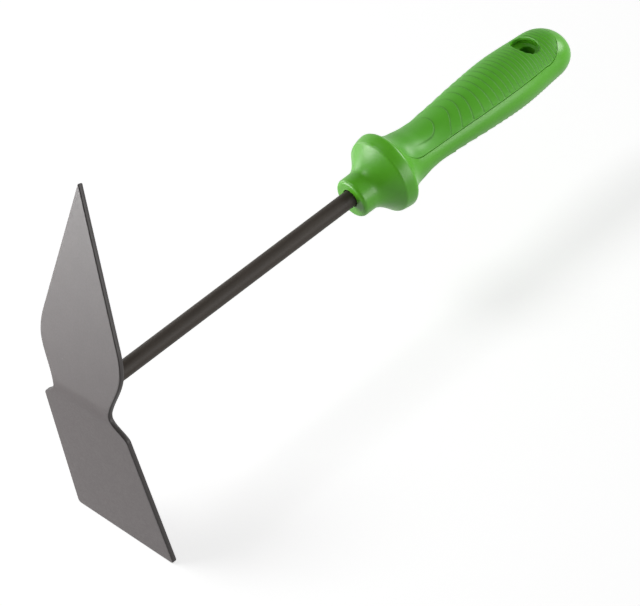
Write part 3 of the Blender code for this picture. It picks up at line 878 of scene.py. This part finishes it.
def insert_row(place, side, ribs):
    """One section of an insert: points, and for each its share of the relief, how far it is outside
    the tongue, and the way outwards. Its half width is the outline's where its bowed ends lie."""
    curve = rib_bow(place, ribs)
    half = WIDTH_GUESS
    for _ in range(WIDTH_ROUNDS):
        half = insert_half_width(max(place - curve * half * half, INSERT_FRONT))
    half = max(half, NARROWEST)
    width = grip_half_sizes(place)[0]
    widest = math.asin(min(half / width, WIDEST_SHARE))
    end = min(place - INSERT_FRONT, INSERT_BUTT - place)
    edge = min(INSERT_ROUND, ROUND_SHARE * half)
    spread = [half - edge + edge * math.sin(math.radians(turn)) for turn in SIDE_TURNS]
    inner = [(half - edge) * math.sin(widest * (2.0 * k / INSERT_STRIPS - 1.0)) / math.sin(widest)
             for k in range(INSERT_STRIPS + 1)]
    outer = [-x for x in reversed(spread)] + inner + spread
    row = []
    for x in outer:
        y = max(place - curve * x * x, INSERT_FRONT)
        sunk = rounding(half - abs(x), edge) + rounding(end, INSERT_ROUND)
        sunk += rounding(hole_distance(x, y), HOLE_ROUND)
        out = grip_normal(x, y)
        point = Vector((x, y, grip_point(x, y))) - out * sunk
        share = smooth_step((half - abs(x)) / RELIEF_SIDE_FADE)
        share *= smooth_step((y - RELIEF_FROM) / RELIEF_FADE)
        row.append((point, share, tongue_distance(x, y, ribs), out))
    for k in range(UNDERSIDE_STRIPS + 1):
        x = outer[-1] * (1.0 - 2.0 * k / UNDERSIDE_STRIPS)
        y = max(place - curve * x * x, INSERT_FRONT)
        level = max(INSERT_LOWEST, grip_point(x, y, INSERT_THICKNESS))
        row.append((Vector((x, y, level)), 0.0, 0.0, Vector((0.0, 0.0, 0.0))))
    return [(Vector((p.x, p.y, side * p.z)), share, tongue, Vector((out.x, out.y, side * out.z)))
            for p, share, tongue, out in row]


def insert_blank(name, side, ribs):
    """An insert without its ribs, with what their tree needs to know stored on its points."""
    places = insert_places()
    rows = [insert_row(place, side, ribs) for place in places]
    rings = [[entry[0] for entry in row] for row in rows]
    blank = new_piece(name, *skin(rings))
    entries = [(place, entry) for place, row in zip(places, rows) for entry in row]
    values = {
        "along": [place for place, _ in entries],
        "relief": [entry[1] for _, entry in entries],
        "tongue": [entry[2] for _, entry in entries],
    }
    for title, numbers in values.items():
        blank.data.attributes.new(title, "FLOAT", "POINT").data.foreach_set("value", numbers)
    outward = [part for _, entry in entries for part in entry[3]]
    blank.data.attributes.new("outward", "FLOAT_VECTOR", "POINT").data.foreach_set("vector", outward)
    return blank


RIB_INPUTS = (
    ("Tongue tip", "tongue_tip"),
    ("First lip", "first"),
    ("Wide pitch", "wide_pitch"),
    ("Fine pitch", "fine_pitch"),
    ("Close up from", "close_from"),
    ("Close up to", "close_to"),
    ("Height", "height"),
    ("Drop", "drop"),
    ("Groove", "groove"),
)


def number_of_ribs(ribs):
    """How many lips there are from the first to the last."""
    place, number = ribs.first, 0
    while place < ribs.last:
        closing = (place - ribs.close_from) / (ribs.close_to - ribs.close_from)
        place += ribs.wide_pitch + (ribs.fine_pitch - ribs.wide_pitch) * smooth_step(closing)
        number += 1
    return number


def rib_tree():
    """Node tree that sinks the bands of an insert so that each rises to a lip and drops behind it."""
    tree = bpy.data.node_groups.new("rib relief", "GeometryNodeTree")
    tree.is_modifier = True
    sockets = [("Geometry", "INPUT", "Geometry"), ("Geometry", "OUTPUT", "Geometry")]
    sockets += [(label, "INPUT", "Float") for label, _ in RIB_INPUTS]
    sockets += [("Ribs", "INPUT", "Int"), ("Finish", "INPUT", "Material")]
    for label, way, kind in sockets:
        tree.interface.new_socket(label, in_out=way, socket_type="NodeSocket" + kind)
    given = tree.nodes.new("NodeGroupInput").outputs
    work = functools.partial(maths, tree)

    def stored(title, kind="FLOAT"):
        made = add_node(tree, "GeometryNodeInputNamedAttribute", {"Name": title}, data_type=kind)
        return made.outputs["Attribute"]

    place = stored("along")

    def up_to(end):
        """1 before an end, 0 beyond it."""
        return work("SUBTRACT", 1.0, work("GREATER_THAN", place, end))

    def band(start, pitch):
        """Depth share of one band: down the wall behind its start, then up to its own lip."""
        beyond = work("SUBTRACT", place, start)
        wall = work("DIVIDE", beyond, given["Drop"], clamp=True)
        risen = work("POWER", work("DIVIDE", beyond, pitch, clamp=True), RIB_EASE)
        return work("MINIMUM", wall, work("SUBTRACT", 1.0, risen))

    def dull_shade_band(value, middle):
        """Share of the duller, darker band round a middle, its darkening being painted shade: 1 there, 0
        from half the band's width off.
        """
        off = work("ABSOLUTE", work("SUBTRACT", value, middle))
        half = work("MULTIPLY", given["Groove"], 0.5)
        return work("SUBTRACT", 1.0, work("DIVIDE", off, half, clamp=True))

    first_band = work("SUBTRACT", given["First lip"], given["Tongue tip"])
    beyond = work("DIVIDE", work("SUBTRACT", place, given["Tongue tip"]), first_band, clamp=True)
    before_lips = up_to(given["First lip"])
    wall = work("DIVIDE", stored("tongue"), given["Drop"], clamp=True)
    beside = work("MULTIPLY", work("MULTIPLY", wall, before_lips),
                  work("SUBTRACT", 1.0, work("POWER", beyond, TONGUE_EASE)))
    # a duller, darker band with painted shade round the raised tongue's rim
    tongue_dull_shade = work("MULTIPLY", dull_shade_band(stored("tongue"), given["Drop"]), before_lips)

    entry = tree.nodes.new("GeometryNodeRepeatInput")
    result = tree.nodes.new("GeometryNodeRepeatOutput")
    entry.pair_with_output(result)
    result.repeat_items.clear()
    starts = {"Lip": given["First lip"], "Depth": beside, "Groove": tongue_dull_shade}
    for title in starts:
        result.repeat_items.new("FLOAT", title)
    for title, value in {"Iterations": given["Ribs"], **starts}.items():
        feed(entry.inputs[title], value)
    lip = entry.outputs["Lip"]
    pitch = add_node(tree, "ShaderNodeMapRange", {
        "Value": lip, "From Min": given["Close up from"], "From Max": given["Close up to"],
        "To Min": given["Wide pitch"], "To Max": given["Fine pitch"],
    }, interpolation_type="SMOOTHSTEP").outputs["Result"]
    following = work("ADD", lip, pitch)
    within = work("MULTIPLY", work("GREATER_THAN", place, lip), up_to(following))
    depth = work("MULTIPLY", within, band(lip, pitch))
    # a duller, darker band with painted shade at the foot of this rib's wall
    groove = dull_shade_band(place, work("ADD", lip, given["Drop"]))
    feed(result.inputs["Lip"], following)
    feed(result.inputs["Depth"], work("ADD", entry.outputs["Depth"], depth))
    feed(result.inputs["Groove"], work("MAXIMUM", entry.outputs["Groove"], groove))

    sunk = work("MULTIPLY", work("MULTIPLY", result.outputs["Depth"], stored("relief")),
                work("MULTIPLY", given["Height"], -1.0))
    shift = add_node(tree, "ShaderNodeVectorMath", {0: stored("outward", "FLOAT_VECTOR"), "Scale": sunk},
                     operation="SCALE").outputs["Vector"]
    geometry = add_node(tree, "GeometryNodeSetPosition",
                        {"Geometry": given["Geometry"], "Offset": shift}).outputs["Geometry"]
    # stores the mask that makes the inserts duller and darkens them with painted shade at the ribs' feet
    # and round the tongue
    dull_shade_mask = work("MULTIPLY", result.outputs["Groove"], stored("relief"))
    geometry = add_node(tree, "GeometryNodeStoreNamedAttribute",
                        {"Geometry": geometry, "Name": "groove", "Value": dull_shade_mask},
                        data_type="FLOAT", domain="POINT").outputs["Geometry"]
    geometry = add_node(tree, "GeometryNodeRealizeInstances", {"Geometry": geometry}).outputs["Geometry"]
    geometry = add_node(tree, "GeometryNodeSetMaterial",
                        {"Geometry": geometry, "Material": given["Finish"]}).outputs["Geometry"]
    add_node(tree, "NodeGroupOutput", {"Geometry": geometry})
    return tree


def socket_id(tree, label):
    """Identifier of a tree's input, by its name."""
    for item in tree.interface.items_tree:
        if item.item_type == "SOCKET" and item.in_out == "INPUT" and item.name == label:
            return item.identifier
    raise KeyError(label)


def make_insert(name, side, ribs, finish):
    insert = insert_blank(name, side, ribs)
    tree = rib_tree()
    modifier = insert.modifiers.new("Ribs", "NODES")
    modifier.node_group = tree
    for label, setting in RIB_INPUTS:
        modifier[socket_id(tree, label)] = getattr(ribs, setting)
    modifier[socket_id(tree, "Ribs")] = number_of_ribs(ribs)
    modifier[socket_id(tree, "Finish")] = finish
    settle(insert)
    for title in ("along", "relief", "tongue", "outward"):
        insert.data.attributes.remove(insert.data.attributes[title])
    cut(insert, hole_form())
    return insert


# Finishes


class Bench:
    """A material being mixed: adds nodes to it and joins them."""

    def __init__(self, name, roughness, specular):
        self.material = bpy.data.materials.new(name)
        self.material.use_nodes = True
        self.tree = self.material.node_tree
        self.shader = self.tree.nodes["Principled BSDF"]
        self.shader.inputs["Roughness"].default_value = roughness
        self.shader.inputs["Specular IOR Level"].default_value = specular
        self.node = functools.partial(add_node, self.tree)
        self.maths = functools.partial(maths, self.tree)

    def place(self, stretch=(1.0, 1.0, 1.0)):
        where = self.node("ShaderNodeTexCoord").outputs["Object"]
        return self.node("ShaderNodeMapping", {"Vector": where, "Scale": stretch}).outputs["Vector"]

    def noise(self, size, detail=4.0, rough=0.55, stretch=(1.0, 1.0, 1.0)):
        """Noise whose patches are about a size across."""
        return self.node("ShaderNodeTexNoise", {
            "Vector": self.place(stretch), "Scale": 1.0 / size, "Detail": detail, "Roughness": rough,
        }).outputs["Fac"]

    def ramp(self, value, low, high, start, end):
        return self.node("ShaderNodeMapRange", {
            "Value": value, "From Min": low, "From Max": high, "To Min": start, "To Max": end,
        }).outputs["Result"]

    def blend(self, share, first, second):
        """Mix of two colours, each a colour or an output."""
        return self.node("ShaderNodeMix", {0: share, 6: first, 7: second},
                         data_type="RGBA", clamp_factor=True).outputs[2]

    def bump(self, height, strength, reach):
        inputs = {"Height": height, "Strength": strength, "Distance": reach}
        return self.node("ShaderNodeBump", inputs).outputs["Normal"]

    def stored(self, title):
        """Value that a piece's mesh stores under a name."""
        return self.node("ShaderNodeAttribute", attribute_name=title).outputs["Fac"]

    def finish(self, colour, roughness=None, normal=None):
        for title, output in (("Base Color", colour), ("Roughness", roughness), ("Normal", normal)):
            if output is not None:
                feed(self.shader.inputs[title], output)
        return self.material


def shade(colour, factor):
    return tuple(part * factor for part in colour)


def powder_coat(blade):
    """Satin grey powder coat: faint mottle, a few pale specks, and painted shade on the arrises and ends.
    """
    bench = Bench("grey_powder_coat", roughness=0.42, specular=0.38)
    cloud = bench.ramp(bench.noise(9.0 * MM, detail=3.0), 0.35, 0.65, 0.0, 1.0)
    grain = bench.ramp(bench.noise(0.9 * MM, detail=5.0, rough=0.65), 0.3, 0.7, 0.0, 1.0)
    face = bench.blend(cloud, shade(blade.coat, 0.95), shade(blade.coat, 1.05))
    face = bench.blend(bench.ramp(grain, 0.0, 1.0, 0.0, 0.5), face, shade(blade.coat, 0.88))
    cells = bench.node("ShaderNodeTexVoronoi", {"Vector": bench.place(), "Scale": 1.0 / (4.0 * MM)})
    speck = bench.ramp(cells.outputs["Distance"], 0.05, 0.11, 1.0, 0.0)
    rare = bench.node("ShaderNodeSeparateColor", {"Color": cells.outputs["Color"]}).outputs["Red"]
    rare = bench.ramp(rare, 0.86, 0.9, 0.0, 0.45)
    face = bench.blend(bench.maths("MULTIPLY", speck, rare), face, shade(blade.coat, 1.9))
    # painted shade: the arrises and ends take a darker colour
    colour = bench.blend(bench.stored("cut_edge"), face, blade.cut_edge)
    rough = bench.ramp(grain, 0.0, 1.0, 0.38, 0.5)
    normal = bench.bump(bench.noise(0.55 * MM, detail=2.0), strength=0.25, reach=0.06 * MM)
    return bench.finish(colour, rough, normal)


def black_coat(name, colour, roughness):
    """Thin black coat on steel, drawn out a little along the bar."""
    bench = Bench(name, roughness, specular=0.3)
    streaks = bench.noise(1.2 * MM, rough=0.6, stretch=(1.0, 0.12, 1.0))
    tone = bench.blend(bench.ramp(streaks, 0.35, 0.65, 0.0, 1.0), shade(colour, 0.9), shade(colour, 1.1))
    rough = bench.ramp(streaks, 0.3, 0.7, roughness - 0.03, roughness + 0.03)
    normal = bench.bump(bench.noise(0.5 * MM, detail=3.0), strength=0.3, reach=0.05 * MM)
    return bench.finish(tone, rough, normal)


def green_plastic(name, pale, deep, roughness, grain):
    """Moulded plastic with faint flow streaks and a fine grain; duller in its grooves, and darkened there
    with painted shade.
    """
    bench = Bench(name, roughness, specular=0.5)
    flow = bench.noise(16.0 * MM, detail=3.0, rough=0.5, stretch=(1.0, 0.35, 1.0))
    flow = bench.ramp(flow, 0.35, 0.65, 0.0, 1.0)
    fine = bench.noise(0.8 * MM, detail=3.0)
    tone = bench.blend(bench.ramp(fine, 0.35, 0.7, 0.0, 0.35), bench.blend(flow, pale, deep), deep)
    groove = bench.stored("groove")
    # painted shade: darker colour in the grooves, where the inserts store their mask
    tone = bench.blend(groove, tone, shade(deep, 0.5))
    rough = bench.ramp(fine, 0.3, 0.7, roughness - 0.04, roughness + 0.06)
    rough = bench.maths("MULTIPLY_ADD", groove, 0.4, rough)
    normal = bench.bump(bench.noise(0.45 * MM, detail=2.0), strength=grain, reach=0.04 * MM)
    return bench.finish(tone, rough, normal)


def studio_floor(colour, lift):
    """Pale floor. The camera sees it lifted towards white, with the tool's shadow still on it."""
    bench = Bench("studio_floor", roughness=0.9, specular=0.1)
    bench.finish(bench.blend(bench.noise(400.0 * MM, detail=2.0), colour, shade(colour, 0.99)))
    path = bench.node("ShaderNodeLightPath").outputs
    seen = bench.maths("MAXIMUM", path["Is Camera Ray"], path["Is Glossy Ray"])
    strength = bench.maths("MULTIPLY", seen, lift)
    glow = bench.node("ShaderNodeEmission", {"Color": WHITE, "Strength": strength})
    both = bench.node("ShaderNodeAddShader", {0: bench.shader.outputs[0], 1: glow.outputs[0]})
    feed(bench.tree.nodes["Material Output"].inputs["Surface"], both.outputs[0])
    return bench.material


# The stage


def towards_camera(stage, elevation):
    """Direction from the tool to the camera's side, raised by an angle."""
    bearing = stage.azimuth - math.radians(90.0)
    level = math.cos(elevation)
    return Vector((level * math.cos(bearing), level * math.sin(bearing), math.sin(elevation)))


def make_floor(stage):
    """Floor under the cutting edge, curving up far behind the tool into a backdrop."""
    reach, rise, turn_radius = 3.0, 3.0, 0.8
    profile = [(-reach, 0.0), (reach - turn_radius, 0.0)]
    for turn in range(10, 91, 10):
        a = math.radians(turn)
        profile.append((reach - turn_radius + turn_radius * math.sin(a),
                        turn_radius * (1.0 - math.cos(a))))
    profile.append((reach, rise))
    away = -towards_camera(stage, 0.0)
    across = Vector((-away.y, away.x, 0.0))
    points, faces = [], []
    for distance, height in profile:
        for side in (-reach, reach):
            spot = away * distance + across * side
            points.append((spot.x, spot.y, CAD_LOW.z + height))
    for k in range(len(profile) - 1):
        faces.append((2 * k, 2 * k + 1, 2 * k + 3, 2 * k + 2))
    mesh = bpy.data.meshes.new("floor")
    mesh.from_pydata(points, [], faces)
    mesh.shade_smooth()
    floor = bpy.data.objects.new("floor", mesh)
    bpy.context.scene.collection.objects.link(floor)
    mesh.materials.append(studio_floor(stage.floor, stage.lift))
    return floor


def add_soft_light(name, direction, distance, width, watts):
    """Round soft light at a distance from the middle of the tool, turned towards it."""
    lamp = bpy.data.lights.new(name, "AREA")
    lamp.shape = "DISK"
    lamp.size = width
    lamp.energy = watts
    holder = bpy.data.objects.new(name, lamp)
    towards = Vector(direction).normalized()
    holder.location = Vector(LIT_PLACE) + towards * distance
    holder.rotation_euler = (-towards).to_track_quat("-Z", "Y").to_euler()
    holder.visible_camera = False
    bpy.context.scene.collection.objects.link(holder)
    return holder


def spare(holder, floor):
    """Keeps a lamp's light off the floor."""
    left_out = bpy.data.collections.new(holder.name + "_spares")
    left_out.objects.link(floor)
    left_out.collection_objects[0].light_linking.link_state = "EXCLUDE"
    holder.light_linking.receiver_collection = left_out


def light_world(sky):
    """White where the camera looks straight or through something, and an even, dimmer light on all."""
    world = bpy.data.worlds.new("studio")
    world.use_nodes = True
    tree = world.node_tree
    dim = tree.nodes["Background"]
    feed(dim.inputs["Color"], WHITE)
    feed(dim.inputs["Strength"], sky)
    bright = add_node(tree, "ShaderNodeBackground", {"Color": WHITE, "Strength": 1.0})
    path = add_node(tree, "ShaderNodeLightPath").outputs
    shown = maths(tree, "MAXIMUM", path["Is Camera Ray"], path["Is Transmission Ray"])
    mixed = add_node(tree, "ShaderNodeMixShader", {0: shown, 1: dim.outputs[0], 2: bright.outputs[0]})
    feed(tree.nodes["World Output"].inputs["Surface"], mixed.outputs[0])
    bpy.context.scene.world = world


def place_camera(stage):
    lens = bpy.data.cameras.new("camera")
    lens.sensor_width = 36.0
    lens.lens = stage.lens
    lens.clip_start = 0.05
    lens.clip_end = 20.0
    camera = bpy.data.objects.new("camera", lens)
    back = towards_camera(stage, stage.elevation)
    camera.location = Vector(CAMERA_AIM) + back * stage.distance
    look = (-back).to_track_quat("-Z", "Y")
    camera.rotation_mode = "QUATERNION"
    camera.rotation_quaternion = look @ Quaternion((0.0, 0.0, 1.0), stage.roll)
    bpy.context.scene.collection.objects.link(camera)
    bpy.context.scene.camera = camera


# Operators and panel


class HOE_OT_blade(bpy.types.Operator):
    """Make the bent plate with its pointed and square blades"""
    bl_idname = "hoe.make_blade"
    bl_label = "Blade"

    def execute(self, context):
        blade = context.scene.hoe_cultivator.blade
        finish_piece(make_blade(blade), powder_coat(blade), "blade", sharp=50.0)
        return {"FINISHED"}


class HOE_OT_shank(bpy.types.Operator):
    """Make the round shank and the weld that holds it to the plate"""
    bl_idname = "hoe.make_shank"
    bl_label = "Shank and weld"

    def execute(self, context):
        settings = context.scene.hoe_cultivator
        shank, blade = settings.shank, settings.blade
        bar_coat = black_coat("black_bar_coat", shank.coat, roughness=0.55)
        weld_coat = black_coat("weld_coat", shank.weld_coat, roughness=0.52)
        finish_piece(make_shank(shank, blade), bar_coat, "shank")
        finish_piece(make_weld(shank, blade), weld_coat, "weld_bead", sharp=60.0)
        return {"FINISHED"}


class HOE_OT_handle(bpy.types.Operator):
    """Make the moulded handle with its horn, rim, grip and hanging hole"""
    bl_idname = "hoe.make_handle"
    bl_label = "Handle"

    def execute(self, context):
        settings = context.scene.hoe_cultivator
        colours = settings.handle
        plastic = green_plastic("hard_green_plastic", colours.shell, colours.shell_deep,
                                roughness=0.36, grain=0.12)
        finish_piece(make_handle(settings.shank), plastic, "handle")
        return {"FINISHED"}


class HOE_OT_inserts(bpy.types.Operator):
    """Make the two ribbed inserts of the grip"""
    bl_idname = "hoe.make_inserts"
    bl_label = "Grip inserts"

    def execute(self, context):
        settings = context.scene.hoe_cultivator
        colours = settings.handle
        plastic = green_plastic("insert_green_plastic", colours.grip, colours.grip_deep,
                                roughness=0.42, grain=0.15)
        for side, word in ((1.0, "upper"), (-1.0, "lower")):
            insert = make_insert("grip_insert_" + word + "_finished", side, settings.ribs, plastic)
            finish_piece(insert, plastic, "grip_insert_" + word, sharp=60.0)
        return {"FINISHED"}


class HOE_OT_stage(bpy.types.Operator):
    """Make the pale floor, the soft lights and the camera"""
    bl_idname = "hoe.make_stage"
    bl_label = "Stage"

    def execute(self, context):
        stage = context.scene.hoe_cultivator.stage
        context.scene.view_settings.view_transform = "Standard"
        floor = make_floor(stage)
        light_world(stage.sky)
        for name, direction, distance, width, on_floor in LAMPS:
            lamp = add_soft_light(name, direction, distance, width, getattr(stage, name + "_power"))
            if not on_floor:
                spare(lamp, floor)
        place_camera(stage)
        return {"FINISHED"}


class HOE_PT_panel(bpy.types.Panel):
    """Lists what can be made"""
    bl_idname = "HOE_PT_panel"
    bl_label = "Hand hoe cultivator"
    bl_space_type = "VIEW_3D"
    bl_region_type = "UI"
    bl_category = "Hoe"

    def draw(self, context):
        settings = context.scene.hoe_cultivator
        groups = ((HOE_OT_blade, settings.blade), (HOE_OT_shank, settings.shank),
                  (HOE_OT_handle, settings.handle), (HOE_OT_inserts, settings.ribs),
                  (HOE_OT_stage, settings.stage))
        for operator, group in groups:
            box = self.layout.box()
            box.operator(operator.bl_idname)
            for title in group.__annotations__:
                box.prop(group, title)


CLASSES = (
    BladeSettings, ShankSettings, HandleSettings, RibSettings, StageSettings, HoeSettings,
    HOE_OT_blade, HOE_OT_shank, HOE_OT_handle, HOE_OT_inserts, HOE_OT_stage, HOE_PT_panel,
)


def register():
    for entry in CLASSES:
        bpy.utils.register_class(entry)
    bpy.types.Scene.hoe_cultivator = PointerProperty(type=HoeSettings)


def unregister():
    del bpy.types.Scene.hoe_cultivator
    for entry in reversed(CLASSES):
        bpy.utils.unregister_class(entry)


def main():
    register()
    bpy.ops.hoe.make_blade()
    bpy.ops.hoe.make_shank()
    bpy.ops.hoe.make_handle()
    bpy.ops.hoe.make_inserts()
    bpy.ops.hoe.make_stage()


if __name__ == "__main__":
    main()
